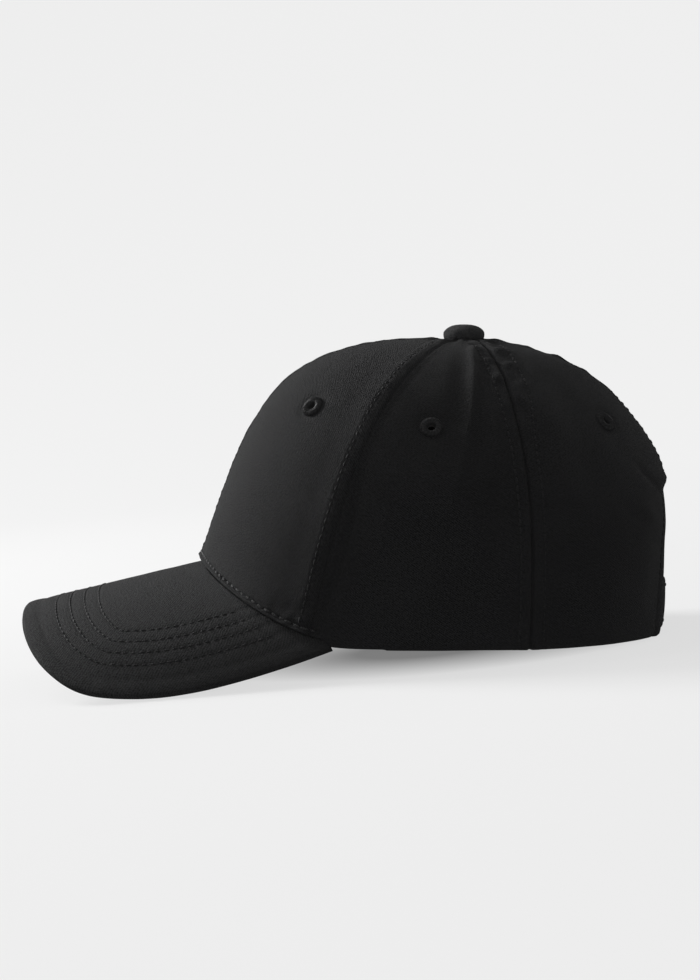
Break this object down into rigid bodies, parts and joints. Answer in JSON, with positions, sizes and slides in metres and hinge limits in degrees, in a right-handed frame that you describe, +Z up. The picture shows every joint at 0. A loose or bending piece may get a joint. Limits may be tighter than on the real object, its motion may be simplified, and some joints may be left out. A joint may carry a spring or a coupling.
{
  "type": "baseball cap",
  "caption": "Structured baseball cap with sewn crown panels, curved visor, covered button, eyelets, inner sweatband, and a rear arch opening with a hook-and-loop strap.",
  "frame": {"origin": "on the table, below the middle of the bounding box, with the cap standing on the visor's side edges and the rear rim", "axes": "+Z up from the table, +Y to the back of the cap so that the visor points along -Y, +X to the wearer's left"},
  "size_m": [0.1636, 0.273, 0.1342],
  "materials": {
    "crown_twill": "black cotton twill, matt",
    "visor_twill": "black cotton twill, matt",
    "under_visor_twill": "black cotton twill, matt",
    "button_twill": "black cotton twill stretched over the button",
    "strap_twill": "black twill strap, folded and sewn",
    "buckram": "stiff open-weave buckram",
    "seam_tape": "woven tape",
    "binding_tape": "woven tape",
    "eyelet_thread": "embroidery thread",
    "sewing_thread": "twisted polyester thread",
    "board_plastic": "moulded polyethylene",
    "sweatband_cotton": "folded cotton twill",
    "padding_foam": "thin foam behind the sweatband",
    "button_metal": "stamped",
    "hook_tape": "nylon hook tape",
    "loop_tape": "nylon loop tape"
  },
  "bodies": {
    "cap": {"arch_binding": "binding_tape", "button_cover": "button_twill", "button_shell": "button_metal", "button_tack": "button_metal", "button_washer": "button_metal", "closure_strap_root": "strap_twill", "closure_tab": "strap_twill", "crown_topstitching": "sewing_thread", "eyelet_front_left": "eyelet_thread", "eyelet_front_right": "eyelet_thread", "eyelet_rear_left": "eyelet_thread", "eyelet_rear_right": "eyelet_thread", "eyelet_side_left": "eyelet_thread", "eyelet_side_right": "eyelet_thread", "front_buckram_left": "buckram", "front_buckram_right": "buckram", "front_panel_left": "crown_twill", "front_panel_right": "crown_twill", "rear_panel_left": "crown_twill", "rear_panel_right": "crown_twill", "seam_tape_center": "seam_tape", "seam_tape_front_left": "seam_tape", "seam_tape_front_right": "seam_tape", "seam_tape_rear_left": "seam_tape", "seam_tape_rear_right": "seam_tape", "side_panel_left": "crown_twill", "side_panel_right": "crown_twill", "sweatband": "sweatband_cotton", "sweatband_padding": "padding_foam", "tab_loop_patch": "loop_tape", "visor_board": "board_plastic", "visor_seam_stitching": "sewing_thread", "visor_stitching": "sewing_thread", "visor_top_cover": "visor_twill", "visor_under_cover": "under_visor_twill"},
    "strap": {"closure_strap": "strap_twill", "strap_hook_patch": "hook_tape", "strap_stitching": "sewing_thread"}
  },
  "joints": [
    {"name": "strap_hinge", "type": "hinge", "parent": "cap", "child": "strap", "pos_m": [0.02629, 0.12855, 0.02178], "axis": [0, 0, -1], "range_deg": [0, 100]}
  ]
}
